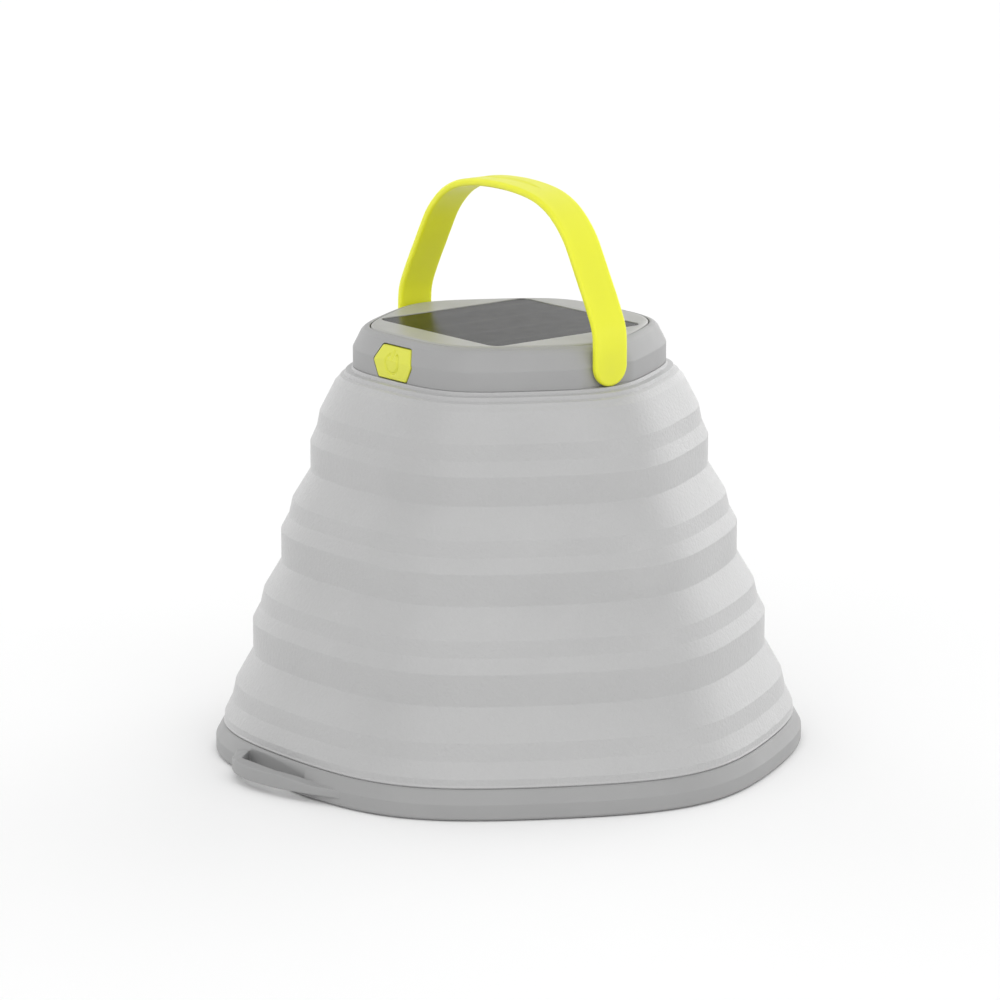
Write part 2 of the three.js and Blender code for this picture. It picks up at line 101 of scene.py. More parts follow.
FOLD_ROUND = 0.8 * MM  # rounding of the bellows' creases
PROUD = 0.25 * MM  # the button and the port cover stand this far out of the housing
BUTTON_BACK = 34.8 * MM  # inner face of the button, from the axis
COVER_BACK = 36.5 * MM  # and of the port cover
OUTSIDE = 45 * MM  # past the housing's front and back, for cutters
SHARP_ANGLE = 32  # edges that turn by more degrees than this stay sharp


# ---------------------------------------------------------------- camera, light and floor
AZIMUTH = math.radians(51.25)
ELEVATION = math.radians(12.74)
CAMERA_DISTANCE = 1.247
LENS = 176.7  # millimetres, like the sensor's width
SENSOR_WIDTH = 36
AIM_HEIGHT = 0.0633
AIM_LEFT = 0.0025  # the lantern stands a little right of the middle
TENT_STRENGTH = 0.69
FLOOR_REACH = 6.0
FLOOR_DROP = 0.2 * MM  # keeps the floor clear of the flat underside

TO_RIGHT = Vector((math.cos(AZIMUTH), math.sin(AZIMUTH), 0))
TO_CAMERA = Vector((math.sin(AZIMUTH) * math.cos(ELEVATION),
                    -math.cos(AZIMUTH) * math.cos(ELEVATION),
                    math.sin(ELEVATION)))


def aim(thing, target):
    thing.rotation_euler = (target - thing.location).to_track_quat("-Z", "Y").to_euler()


def link(thing):
    bpy.context.scene.collection.objects.link(thing)
    return thing


def make_camera():
    camera = link(bpy.data.objects.new("camera", bpy.data.cameras.new("camera")))
    camera.data.lens = LENS
    camera.data.sensor_width = SENSOR_WIDTH
    target = Vector((0, 0, AIM_HEIGHT)) - TO_RIGHT * AIM_LEFT
    camera.location = target + TO_CAMERA * CAMERA_DISTANCE
    aim(camera, target)
    bpy.context.scene.camera = camera


def glow(tree, place, direction, narrow, wide, gain):
    """Extra light from one side: full within the angle narrow, in degrees, and gone beyond wide."""
    toward = direction.normalized()
    facing = add_node(tree, "ShaderNodeVectorMath", {0: place, 1: toward}, operation="DOT_PRODUCT")
    inputs = {
        "Value": facing.outputs["Value"], "To Max": gain,
        "From Min": math.cos(math.radians(wide)), "From Max": math.cos(math.radians(narrow)),
    }
    made = add_node(tree, "ShaderNodeMapRange", inputs, interpolation_type="SMOOTHSTEP")
    return made.outputs["Result"]


def make_lights():
    """A white tent with brighter panels: overhead, behind on each side, and in front on each side."""
    up = Vector((0, 0, 1))
    near = Vector((TO_CAMERA.x, TO_CAMERA.y, 0)).normalized()
    world = bpy.data.worlds.new("studio")
    world.use_nodes = True
    tree = world.node_tree
    place = add_node(tree, "ShaderNodeTexCoord").outputs["Generated"]
    # Direction of each panel, the angles where its light starts to fall off and ends, and its gain.
    panels = [
        (up * 0.8 + near * 0.6, 20, 52, 0.75),
        (TO_RIGHT * 0.66 - near * 0.74 + up * 0.12, 10, 48, 1.45),
        (-TO_RIGHT * 0.68 - near * 0.72 + up * 0.15, 10, 42, 0.8),
        (-TO_RIGHT * 0.55 + near * 0.83 + up * 0.05, 15, 55, 0.26),
        (TO_RIGHT * 0.9 + near * 0.42 + up * 0.05, 6, 24, 1.1),
    ]
    strength = TENT_STRENGTH
    for panel in panels:
        inputs = {0: strength, 1: glow(tree, place, *panel)}
        added = add_node(tree, "ShaderNodeMath", inputs, operation="ADD")
        strength = added.outputs["Value"]
    tree.links.new(strength, tree.nodes["Background"].inputs["Strength"])
    tree.nodes["Background"].inputs["Color"].default_value = (1, 1, 1, 1)
    bpy.context.scene.world = world
    bpy.context.scene.view_settings.view_transform = "Standard"


def make_floor():
    mesh = bpy.data.meshes.new("floor")
    reach = FLOOR_REACH
    corners = [(-reach, -reach, 0), (reach, -reach, 0), (reach, reach, 0), (-reach, reach, 0)]
    mesh.from_pydata(corners, [], [(0, 1, 2, 3)])
    floor = link(bpy.data.objects.new("floor", mesh))
    floor.location.z = -FLOOR_DROP
    paint(floor, mottled("pale_floor", (0.93, 0.93, 0.93), 0.9, coarse=3, change=0.004, grain=0))


# ---------------------------------------------------------------- materials
def add_node(tree, kind, inputs=None, **settings):
    made = tree.nodes.new(kind)
    for name, value in settings.items():
        setattr(made, name, value)
    for name, value in (inputs or {}).items():
        if isinstance(value, bpy.types.NodeSocket):
            tree.links.new(value, made.inputs[name])
        else:
            made.inputs[name].default_value = value
    return made


def noise(tree, scale, detail=3.0, stretch=(1, 1, 1)):
    """Noise over the place in the part, about one blob for each 1 / scale metres."""
    place = add_node(tree, "ShaderNodeTexCoord").outputs["Object"]
    mapped = add_node(tree, "ShaderNodeMapping", {"Vector": place, "Scale": stretch})
    inputs = {"Vector": mapped.outputs["Vector"], "Scale": scale, "Detail": detail}
    return add_node(tree, "ShaderNodeTexNoise", inputs).outputs[0]


def ramp(tree, factor, stops):
    """A colour for each share from 0 to 1."""
    made = add_node(tree, "ShaderNodeValToRGB", {"Fac": factor})
    elements = made.color_ramp.elements
    while len(elements) < len(stops):
        elements.new(0.5)
    for element, (share, colour) in zip(elements, stops):
        element.position = share
        element.color = (*colour, 1)
    return made.outputs["Color"]


def spread(tree, factor, low, high):
    inputs = {"Value": factor, "From Min": 0.3, "From Max": 0.7, "To Min": low, "To Max": high}
    return add_node(tree, "ShaderNodeMapRange", inputs).outputs["Result"]


def tinted(colour, share):
    return tuple(min(1.0, value * share) for value in colour)


def new_material(name):
    material = bpy.data.materials.new(name)
    material.use_nodes = True
    return material, material.node_tree, material.node_tree.nodes["Principled BSDF"]


def mottled(name, colour, roughness, coarse=60, change=0.03, grain=0.1, grain_scale=2600,
            stretch=(1, 1, 1), **uniform):
    """Moulded material: a faint drift of colour, patchy gloss and a fine grain."""
    material, tree, shader = new_material(name)
    drift = noise(tree, coarse, 4.0, stretch)
    stops = [(0.3, tinted(colour, 1 - change)), (0.7, tinted(colour, 1 + change))]
    tree.links.new(ramp(tree, drift, stops), shader.inputs["Base Color"])
    gloss = spread(tree, noise(tree, coarse * 4, 2.0, stretch), roughness * 0.92, roughness * 1.08)
    tree.links.new(gloss, shader.inputs["Roughness"])
    if grain:
        height = noise(tree, grain_scale, 2.0, stretch)
        inputs = {"Height": height, "Strength": grain, "Distance": 0.1 * MM}
        bump = add_node(tree, "ShaderNodeBump", inputs)
        tree.links.new(bump.outputs["Normal"], shader.inputs["Normal"])
    for socket, value in uniform.items():
        shader.inputs[socket.replace("_", " ")].default_value = value
    return material


def linear(*levels):
    """A display colour, 0 to 255, as the linear colour that shaders use."""
    return tuple(((level / 255 + 0.055) / 1.055) ** 2.4 for level in levels)


def silicone_material():
    """Frosted silicone: a faint drift of tone and a fine grain under a soft gloss."""
    material, tree, shader = new_material("frosted_silicone")
    pale = linear(177, 177, 177)
    drift = noise(tree, 45, 5.0)
    stops = [(0.25, tinted(pale, 0.97)), (0.75, tinted(pale, 1.03))]
    tree.links.new(ramp(tree, drift, stops), shader.inputs["Base Color"])
    gloss = spread(tree, noise(tree, 900, 3.0), 0.38, 0.5)
    tree.links.new(gloss, shader.inputs["Roughness"])
    fine = noise(tree, 1100, 4.0)
    inputs = {"Height": fine, "Strength": 0.5, "Distance": 0.3 * MM}
    bump = add_node(tree, "ShaderNodeBump", inputs)
    tree.links.new(bump.outputs["Normal"], shader.inputs["Normal"])
    tree.links.new(bump.outputs["Normal"], shader.inputs["Coat Normal"])
    shader.inputs["IOR"].default_value = 1.41
    shader.inputs["Coat Weight"].default_value = 0.45
    shader.inputs["Coat Roughness"].default_value = 0.28
    return material


def panel_material():
    """Solar cells under smooth resin: dark, with barely visible contact lines."""
    material, tree, shader = new_material("solar_cells")
    place = add_node(tree, "ShaderNodeTexCoord").outputs["Object"]
    lines = add_node(tree, "ShaderNodeTexWave", {"Vector": place, "Scale": 26.0, "Distortion": 0.0},
                     wave_type="BANDS", bands_direction="X", wave_profile="SIN")
    contact = add_node(tree, "ShaderNodeMapRange",
                       {"Value": lines.outputs["Fac"], "From Min": 0.985, "From Max": 1.0})
    cell = noise(tree, 140, 6.0)
    stops = [(0.3, (0.012, 0.012, 0.011)), (0.7, (0.019, 0.019, 0.018))]
    dark = ramp(tree, cell, stops)
    mixed = add_node(tree, "ShaderNodeMix", data_type="RGBA")
    tree.links.new(contact.outputs["Result"], mixed.inputs["Factor"])
    tree.links.new(dark, mixed.inputs[6])
    mixed.inputs[7].default_value = (0.05, 0.05, 0.05, 1)
    tree.links.new(mixed.outputs[2], shader.inputs["Base Color"])
    gloss = spread(tree, noise(tree, 300, 2.0), 0.22, 0.25)
    tree.links.new(gloss, shader.inputs["Roughness"])
    shader.inputs["IOR"].default_value = 1.14
    return material


def board_material():
    """Green circuit board with a grid of lighter tracks."""
    material, tree, shader = new_material("circuit_board")
    place = add_node(tree, "ShaderNodeTexCoord").outputs["Object"]
    tracks = add_node(tree, "ShaderNodeTexBrick", {"Vector": place, "Scale": 160.0, "Mortar Size": 0.03})
    tracks.inputs["Color1"].default_value = (0.012, 0.13, 0.04, 1)
    tracks.inputs["Color2"].default_value = (0.015, 0.16, 0.05, 1)
    tracks.inputs["Mortar"].default_value = (0.03, 0.24, 0.09, 1)
    tree.links.new(tracks.outputs["Color"], shader.inputs["Base Color"])
    gloss = spread(tree, noise(tree, 700, 2.0), 0.35, 0.5)
    tree.links.new(gloss, shader.inputs["Roughness"])
    return material


def steel_material(name, colour, roughness, stretch=(1, 1, 12)):
    return mottled(name, colour, roughness, coarse=400, change=0.06, grain=0.15, grain_scale=4000,
                   stretch=stretch, Metallic=1.0)


def paint(thing, material):
    if thing.material_slots:
        for slot in thing.material_slots:
            slot.material = material
    else:
        thing.data.materials.append(material)


GREY = mottled("grey_plastic", linear(156, 156, 156), 0.46, grain=0.12)
GREY_BASE = mottled("grey_plastic_base", linear(154, 154, 154), 0.5, grain=0.14)
PALE = mottled("pale_satin_plastic", linear(162, 162, 158), 0.34, change=0.015, grain=0.03)
YELLOW = mottled("yellow_strap_plastic", linear(224, 226, 48), 0.42, change=0.012, grain=0.06,
                 Subsurface_Weight=0.7, Subsurface_Radius=(1, 1, 0.4), Subsurface_Scale=0.003)
YELLOW_BUTTON = mottled("yellow_button_plastic", linear(214, 216, 70), 0.45, change=0.012, grain=0.08)
SILICONE = silicone_material()
PANEL = panel_material()
RUBBER = mottled("grey_rubber", linear(140, 140, 137), 0.72, grain=0.25, grain_scale=1800)
WHITE = mottled("white_plastic", linear(228, 228, 224), 0.5, grain=0.08)
FROSTED = mottled("frosted_diffuser", linear(240, 240, 236), 0.4, grain=0.2)
STEEL = steel_material("screw_steel", linear(196, 198, 200), 0.3)
ALUMINIUM = steel_material("board_metal", linear(222, 224, 225), 0.38, (1, 14, 1))
FOIL = mottled("cell_foil", linear(205, 208, 212), 0.3, coarse=90, grain=0.3, grain_scale=300,
               Metallic=0.7)
BLACK = mottled("black_plastic", linear(38, 38, 39), 0.5, grain=0.1)
PHOSPHOR = mottled("led_phosphor", linear(236, 218, 84), 0.4, coarse=300, change=0.08, grain=0.2)
BOARD = board_material()

INNER_MATERIALS = {
    "plate_seal": RUBBER, "head_floor": WHITE, "head_clamp_ring": WHITE, "base_clamp_ring": WHITE,
    "led_board": ALUMINIUM, "led_diffuser": FROSTED, "battery_cell": FOIL, "control_board": BOARD,
    "port_board": BOARD, "button_switch": BLACK, "charge_port": STEEL,
    "pin_clip_right": STEEL, "pin_clip_left": STEEL,
}


def paint_inner_nodes():
    for node, material in INNER_MATERIALS.items():
        paint(NODES[node], material)
    for number in range(1, 7):
        paint(NODES[f"led_{number}"], PHOSPHOR)
    for number in range(1, 5):
        paint(NODES[f"head_screw_{number}"], STEEL)


# ---------------------------------------------------------------- outlines and meshes
def plan_share(angles, squareness):
    """Distance from the axis to the six-sided outline at each angle, as a share of its corner radius."""
    sides = math.pi / 6 + np.arange(6) * math.pi / 3
    toward = np.maximum(np.cos(np.asarray(angles)[..., None] - sides), 0)
    at_corner = 2 * math.cos(math.pi / 6) ** squareness
    return (at_corner / (toward ** squareness).sum(axis=-1)) ** (1 / squareness)


def bellows_shape(z):
    return BASE_SQUARENESS + (COLLAR_SQUARENESS - BASE_SQUARENESS) * z / HEAD_Z


def base_shape(z):
    return BASE_SQUARENESS


def head_shape(z):
    return HEAD_SQUARENESS


def rounded_line(points, default, steps=4, closed=False):
    """Rounds the corners of a line. A point's own third value stands in for the default radius."""
    made = []
    for i, point in enumerate(points):
        here = np.array(point[:2])
        radius = point[2] if len(point) > 2 else default
        at_end = not closed and i in (0, len(points) - 1)
        if at_end or radius == 0:
            made.append(here)
            continue
        before = np.array(points[i - 1][:2]) - here
        after = np.array(points[(i + 1) % len(points)][:2]) - here
        long_before, long_after = np.linalg.norm(before), np.linalg.norm(after)
        before, after = before / long_before, after / long_after
        half_turn = (math.pi - math.acos(np.clip(before @ after, -1, 1))) / 2
        reach = min(radius * math.tan(half_turn), 0.46 * long_before, 0.46 * long_after)
        for t in np.linspace(0, 1, steps + 1):
            start, end = here + before * reach, here + after * reach
            made.append((1 - t) ** 2 * start + 2 * t * (1 - t) * here + t ** 2 * end)
    return np.array(made)


def evenly(points, count):
    """The closed line again, as evenly spaced points."""
    closed = np.vstack([points, points[:1]])
    along = np.concatenate([[0], np.cumsum(np.linalg.norm(np.diff(closed, axis=0), axis=1))])
    places = np.linspace(0, along[-1], count, endpoint=False)
    return np.stack([np.interp(places, along, closed[:, axis]) for axis in range(points.shape[1])], axis=1)


def smooth_curve(points, count):
    """A smooth line through the points, as evenly spaced places."""
    points = np.array(points)
    ends = np.vstack([2 * points[0] - points[1], points, 2 * points[-1] - points[-2]])
    t = np.linspace(0, 1, 24, endpoint=False)[:, None]
    line = []
    for p0, p1, p2, p3 in zip(ends, ends[1:], ends[2:], ends[3:]):
        line.append(0.5 * (2 * p1 + (p2 - p0) * t + (2 * p0 - 5 * p1 + 4 * p2 - p3) * t ** 2
                           + (3 * p1 - p0 - 3 * p2 + p3) * t ** 3))
    line = np.vstack([*line, points[-1:]])
    along = np.concatenate([[0], np.cumsum(np.linalg.norm(np.diff(line, axis=0), axis=1))])
    places = np.linspace(0, along[-1], count)
    return np.stack([np.interp(places, along, line[:, axis]) for axis in (0, 1)], axis=1), along[-1]


def soft_limit(values, limit):
    """Keeps values between -limit and limit, with a small rounding at the change."""
    blend = 0.5 * MM
    size = np.abs(values)
    share = np.clip(0.5 + 0.5 * (limit - size) / blend, 0, 1)
    kept = limit * (1 - share) + size * share - blend * share * (1 - share)
    return np.sign(values) * kept


def ring_loops(profile, shape, steps, corner_limit=None):
    """One loop of points round Z for each (corner radius, z) of the profile."""
    angles = np.linspace(0, 2 * math.pi, steps, endpoint=False)
    loops = []
    for radius, z in profile:
        reach = radius * plan_share(angles, shape(z))
        x = reach * np.cos(angles)
        if corner_limit:
            x = soft_limit(x, corner_limit)
        loops.append(np.stack([x, reach * np.sin(angles), np.full(steps, z)], axis=1))
    return loops


def shade(piece, sharp=SHARP_ANGLE):
    piece.data.shade_smooth()
    piece.data.set_sharp_from_angle(angle=math.radians(sharp))


def new_piece(name, points, faces, sharp):
    mesh = bpy.data.meshes.new(name)
    mesh.from_pydata([tuple(point) for point in points], [], faces)
    form = bmesh.new()
    form.from_mesh(mesh)
    bmesh.ops.recalc_face_normals(form, faces=form.faces)
    form.to_mesh(mesh)
    form.free()
    piece = link(bpy.data.objects.new(name, mesh))
    shade(piece, sharp)
    return piece


def loft_faces(rows, columns, closed):
    faces = []
    for row in range(rows if closed else rows - 1):
        a = row * columns
        b = (row + 1) % rows * columns
        faces += [(a + i, a + (i + 1) % columns, b + (i + 1) % columns, b + i) for i in range(columns)]
    if not closed:
        faces.append(tuple(range(columns)))
        faces.append(tuple(range((rows - 1) * columns, rows * columns)))
    return faces


def lofted(name, loops, closed=False, sharp=SHARP_ANGLE):
    """A surface through loops: closed joins the last to the first, otherwise both ends are capped."""
    faces = loft_faces(len(loops), len(loops[0]), closed)
    return new_piece(name, np.concatenate(loops), faces, sharp)


def turned(name, profile, steps, place=(0, 0, 0)):
    """A round piece from (radius, z) points, capped at both ends."""
    angles = np.linspace(0, 2 * math.pi, steps, endpoint=False)
    circle = np.stack([np.cos(angles), np.sin(angles)], axis=1)
    loops = [np.column_stack([circle * radius, np.full(steps, z)]) + place for radius, z in profile]
    return lofted(name, loops)


def prism(name, outline, low, high, axis="z"):
    """An outline carried along Z, or an outline in X and Z carried along Y."""
    loops = []
    for level in (low, high):
        first, second = outline[:, 0], outline[:, 1]
        flat = np.full(len(outline), level)
        columns = [first, second, flat] if axis == "z" else [first, flat, second]
        loops.append(np.column_stack(columns))
    return lofted(name, loops)


def applied(piece):
    """Makes the piece's modifiers part of its mesh."""
    bpy.context.view_layer.update()
    evaluated = piece.evaluated_get(bpy.context.evaluated_depsgraph_get())
    mesh = bpy.data.meshes.new_from_object(evaluated)
    piece.modifiers.clear()
    piece.data = mesh


def cut(piece, cutters):
    for cutter in cutters:
        modifier = piece.modifiers.new("cut", "BOOLEAN")
        modifier.operation = "DIFFERENCE"
        modifier.solver = "EXACT"
        modifier.object = cutter
    applied(piece)
    for cutter in cutters:
        bpy.data.objects.remove(cutter)
    shade(piece)


def joined(piece, others):
    """Adds the meshes of other pieces to the piece."""
    form = bmesh.new()
    for thing in [piece, *others]:
        form.from_mesh(thing.data)
    form.to_mesh(piece.data)
    form.free()
    for thing in others:
        bpy.data.objects.remove(thing)
    shade(piece)


def even_shading(piece):
    """Lets the broad faces, not the small roundings beside them, decide how the surface is shaded."""
    modifier = piece.modifiers.new("even_shading", "WEIGHTED_NORMAL")
    modifier.keep_sharp = True
    applied(piece)


def place_piece(piece, material, slot, body, *nodes):
    even_shading(piece)
    paint(piece, material)
    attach(piece, body)
    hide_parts(*nodes)


# ---------------------------------------------------------------- base
LUG_LOW = 2.0 * MM
WINDOW_TOP = 6.8 * MM
BASE_SCREW_PLACES = [
    (low_of(f"base_screw_{i}") + high_of(f"base_screw_{i}")) / 2 for i in range(1, 7)
]


def make_base_ring():
    top = high_of("base_ring").z
    r = BASE_RADIUS
    inner = r - 3.2 * MM
    shelf = 66.9 * MM
    profile = [
        (r - 0.6 * MM, 0), (r, 0.6 * MM, 0.5 * MM), (r, 4.0 * MM, 0.5 * MM),
        (r - 0.3 * MM, 4.5 * MM, 0.5 * MM), (r - 1.7 * MM, 7.0 * MM, 0.5 * MM),
        (r - 2.2 * MM, top, 0.3 * MM), (shelf, top), (shelf, 5.6 * MM),
        (inner - 0.6 * MM, 5.6 * MM), (inner, 5.0 * MM), (inner, 0),
    ]
    line = rounded_line(profile, 0.2 * MM, closed=True)
    ring = lofted("base_ring_shell", ring_loops(line, base_shape, ROUND_STEPS), closed=True)
    window = rounded_line(lug_window(), 0.4 * MM, closed=True)
    cut(ring, [prism("window_cutter", window, -1 * MM, WINDOW_TOP)])
    joined(ring, [make_lug()])
    place_piece(ring, GREY_BASE, "grey_plastic", "base", "base_ring")


def lug_window():
    """Plan of the slot behind the lug's bar. It is cut into the ring's wall, less deep to the right."""
    return millimetres((-16.6, -70.2), (-12.7, -75.3), (2.4, -75.3), (11.4, -72.1))


def make_lug():
    """The hanging loop's bar: it leaves the ring sharply at the left and runs back in at the right."""
    front = millimetres((-22.5, -70.5), (-19.2, -73.4), (-16.2, -76.0), (-12.4, -77.7), (-7.5, -78.5),
                        (-1.5, -78.3), (5, -77.0), (12, -74.7), (18, -72.3), (23.5, -70.1))
    front = smooth_curve(front, 200)[0]
    back = np.array(lug_window() + millimetres((12.4, -70.2)))
    # Places along X, each with the height of the bar's top at its front and at its back.
    places = np.array(millimetres((-22.5, 4.3, 5.2), (-20, 4.5, 5.6), (-17, 5.0, 6.2), (-12.7, 5.6, 6.0),
                                  (3, 5.6, 5.9), (8, 5.1, 5.5), (14, 4.3, 4.5), (23.5, 4.0, 4.2)))
    loops = []
    for x in np.linspace(places[0, 0], places[-1, 0], 150):
        y_front = np.interp(x, front[:, 0], front[:, 1])
        y_back = np.interp(x, back[:, 0], back[:, 1])
        top_front = np.interp(x, places[:, 0], places[:, 1])
        top_back = np.interp(x, places[:, 0], places[:, 2])
        section = [(y_front, LUG_LOW), (y_front, top_front), (y_back, top_back), (y_back, LUG_LOW)]
        corners = rounded_line(section, 0.5 * MM, closed=True)
        loops.append(np.array([[x, y, z] for y, z in corners]))
    return lofted("lug", loops)


def make_base_plate():
    r = BASE_RADIUS
    profile = [
        (r - 20 * MM, 0), (r - 4.0 * MM, 0), (r - 3.6 * MM, 0.4 * MM, 0.4 * MM),
        (r - 3.6 * MM, 1.8 * MM), (r - 20 * MM, 1.8 * MM),
    ]
    line = rounded_line(profile, 0.2 * MM)
    plate = lofted("base_plate_shell", ring_loops(line, base_shape, ROUND_STEPS))
    cutters = []
    for place in BASE_SCREW_PLACES:
        centre = (place.x, place.y, 0)
        profile = [(2.3 * MM, -1 * MM), (2.15 * MM, 0.15 * MM), (2.1 * MM, 1.15 * MM)]
        cutters.append(turned("counterbore", profile, 48, centre))
    cut(plate, cutters)
    place_piece(plate, GREY_BASE, "grey_plastic", "base", "base_plate")


def make_base_screws():
    """Pan-head screws with a cross recess, seen from below."""
    for number, place in enumerate(BASE_SCREW_PLACES, 1):
        low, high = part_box(f"base_screw_{number}")
        z = low.z
        profile = [
            (0.2, 0), (1.2, 0.02), (1.6, 0.12), (1.83, 0.35), (1.85, 0.9), (0.9, 0.9),
            (0.9, (high.z - z) / MM - 0.4), (0.5, (high.z - z) / MM),
        ]
        line = rounded_line(millimetres(*profile), 0.1 * MM)
        screw = turned(f"base_screw_head_{number}", line, 40)
        slots = []
        for wide, deep in ((1.1, 0.25), (0.25, 1.1)):
            corners = np.array(millimetres((-wide, -deep), (wide, -deep), (wide, deep), (-wide, deep)))
            slots.append(prism("slot_cutter", corners, -1 * MM, 0.55 * MM))
        cut(screw, slots)
        screw.location = (place.x, place.y, z)
        screw.rotation_euler.z = number * 1.3
        place_piece(screw, STEEL, "steel", "base", f"base_screw_{number}")


# ---------------------------------------------------------------- bellows
# The foot's outer line, with heights above its lower edge.
FOOT_LINE = millimetres((73.1, 0, 0.1), (73.4, 0.35, 0.15), (73.2, 0.8, 0.2))
FLANGE_RADIUS = 67.2 * MM  # inner edge of the flange that the clamp ring holds
COLLAR_LINE = millimetres((43.5, 95.9), (43.0, 96.6))
COLLAR_TOP = millimetres(
    (42.0, 97.0, 0.1), (41.7, 97.95, 0.2), (40.2, 98.15, 0.06), (39.9, 98.95, 0.1), (38.3, 98.95),
    (38.3, 98.6), (33, 98.6), (33, 97.4), (40.2, 97.4),
)
FOLDS = 4


def fold_line(upper, lower):
    """Creases of a fold, up from the top edge of the part below it to the bottom edge of the one above."""
    line = []
    for down, out in reversed(FOLD_CREASES):
        radius = upper[0] + (lower[0] - upper[0]) * out
        line.append((radius, upper[1] + (lower[1] - upper[1]) * down))
    return line


def band_edges(number):
    low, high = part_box(f"bellows_band_{number}")
    return (high.x, low.z - BAND_GAP), (high.x, high.z + BAND_GAP)


def skin_profile(outer):
    """A closed profile: the outer line up, and the same line down at the inside of the skin."""
    line = rounded_line(outer, FOLD_ROUND, 5)
    inner = rounded_line([(radius - SKIN, z) for radius, z, *_ in outer], FOLD_ROUND, 5)
    return np.vstack([line, inner[::-1]])


def bellows_section(number, outer, nodes, ends):
    """One stretch of the bellows, from the middle of a band to the middle of the next."""
    skin = skin_profile(outer)
    if ends[0]:
        skin = np.vstack([skin, rounded_line(ends[0], 0.3 * MM)])
    if ends[1]:
        half = len(skin) // 2
        skin = np.vstack([skin[:half], rounded_line(ends[1], 0.4 * MM), skin[half:]])
    loops = ring_loops(skin, bellows_shape, ROUND_STEPS)
    section = lofted(f"bellows_section_{number}", loops, closed=True)
    even_shading(section)
    paint(section, SILICONE)
    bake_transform(section)
    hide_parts(*nodes)


def make_bellows():
    foot_top = (FOOT_TOP_RADIUS, high_of("bellows_foot").z, 0.3 * MM)
    collar_low = (high_of("bellows_collar").x, low_of("bellows_collar").z)
    bands = [band_edges(number) for number in (1, 2, 3)]
    middles = [(low[0], (low[1] + high[1]) / 2) for low, high in bands]
    below = [foot_top] + [high for low, high in bands]
    above = [low for low, high in bands] + [collar_low]
    folds = [fold_line(above[i], below[i]) for i in range(FOLDS)]
    foot_low = low_of("bellows_foot").z - 0.25 * MM
    foot = [(radius, foot_low + rise, rounding) for radius, rise, rounding in FOOT_LINE]
    flange = [(FLANGE_RADIUS, foot_low + SKIN), (FLANGE_RADIUS, foot_low)]
    for i in range(FOLDS):
        lowest, highest = i == 0, i == FOLDS - 1
        outer = foot + folds[i] if lowest else [middles[i - 1]] + folds[i]
        outer = outer + (COLLAR_LINE if highest else [middles[i]])
        nodes = [f"bellows_fold_{i + 1}"]
        nodes.append("bellows_collar" if highest else f"bellows_band_{i + 1}")
        if lowest:
            nodes.append("bellows_foot")
        ends = (flange if lowest else (), COLLAR_TOP if highest else ())
        # The lowest fold stands over the clamp ring.
        # Fully collapsed, the skin still cuts about 0.13 mm into the ring's inner top edge.
        bellows_section(i + 1, outer, nodes, ends)


# ---------------------------------------------------------------- head
def head_line(points):
    """Rounds a line given in millimetres above the underside of the head."""
    line = rounded_line(millimetres(*points), 0.3 * MM)
    line[:, 1] += HEAD_Z
    return line


def housing_outer():
    r = HEAD_RADIUS / MM
    return head_line([
        (r - 0.9, 0), (r - 0.15, 0, 0.1), (r, 0.25, 0.2), (r, 5.0, 1.2), (r - 2.1, 9.1, 0.8),
        (r - 2.8, 9.8, 0.8), (r - 3.8, 10.2, 0.5), (35.5, 10.15, 0.15), (35.5, 9.8),
    ])


def housing_radius(z):
    line = housing_outer()[:-1]
    return np.interp(z, line[:, 1], line[:, 0])


def face_of(x, z, proud):
    """Distance along Y from the axis to a surface proud of the housing at (x, z), at front or back."""
    radius = housing_radius(z) + proud
    angle = np.full(np.shape(x), math.pi / 2)
    for _ in range(12):
        reach = radius * plan_share(angle, HEAD_SQUARENESS)
        y = np.sqrt(np.maximum(reach ** 2 - np.square(x), 0))
        angle = np.arctan2(y, x)
    return y


def make_housing():
    inner = head_line([
        (35.5, 7.6), (33.5, 7.6), (33.5, 6.4), (37.2, 6.0), (38.0, 4.6), (38.0, 0.0),
    ])
    loops = ring_loops(housing_outer(), head_shape, FINE_STEPS, FACET)
    loops += ring_loops(inner, head_shape, FINE_STEPS, PAD_INNER)
    housing = lofted("head_housing_shell", loops, closed=True)
    button = prism("button_cutter", button_outline(0.35 * MM), -OUTSIDE, -33.9 * MM, "y")
    cover = prism("cover_cutter", cover_outline(0.3 * MM), 36.2 * MM, OUTSIDE, "y")
    port = prism("port_cutter", port_outline(10.2 * MM, 4.1 * MM), 33.0 * MM, OUTSIDE, "y")
    cut(housing, [button, cover, port])
    place_piece(housing, GREY, "grey_plastic", "head", "head_housing")


def button_outline(larger):
    low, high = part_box("power_button")
    long, flat, tall = 7.5 * MM + 1.2 * larger, 5.5 * MM + 0.6 * larger, (high.z - low.z) / 2 + larger
    corners = [(long, 0), (flat, tall), (-flat, tall), (-long, 0), (-flat, -tall), (flat, -tall)]
    outline = evenly(rounded_line(corners, 0.7 * MM + larger, 6, closed=True), 180)
    return outline + (0, (low.z + high.z) / 2)


def rounded_box(wide, tall, radius, count=160):
    corners = [(wide, tall), (-wide, tall), (-wide, -tall), (wide, -tall)]
    return evenly(rounded_line(corners, radius, 6, closed=True), count)


def cover_outline(larger):
    low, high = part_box("port_cover")
    outline = rounded_box(high.x + larger, (high.z - low.z) / 2 + larger, 0.9 * MM + larger)
    return outline + (0, (low.z + high.z) / 2)


def port_outline(wide, tall):
    low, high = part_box("charge_port")
    return rounded_box(wide / 2, tall / 2, 1.4 * MM, 80) + (0, (low.z + high.z) / 2)


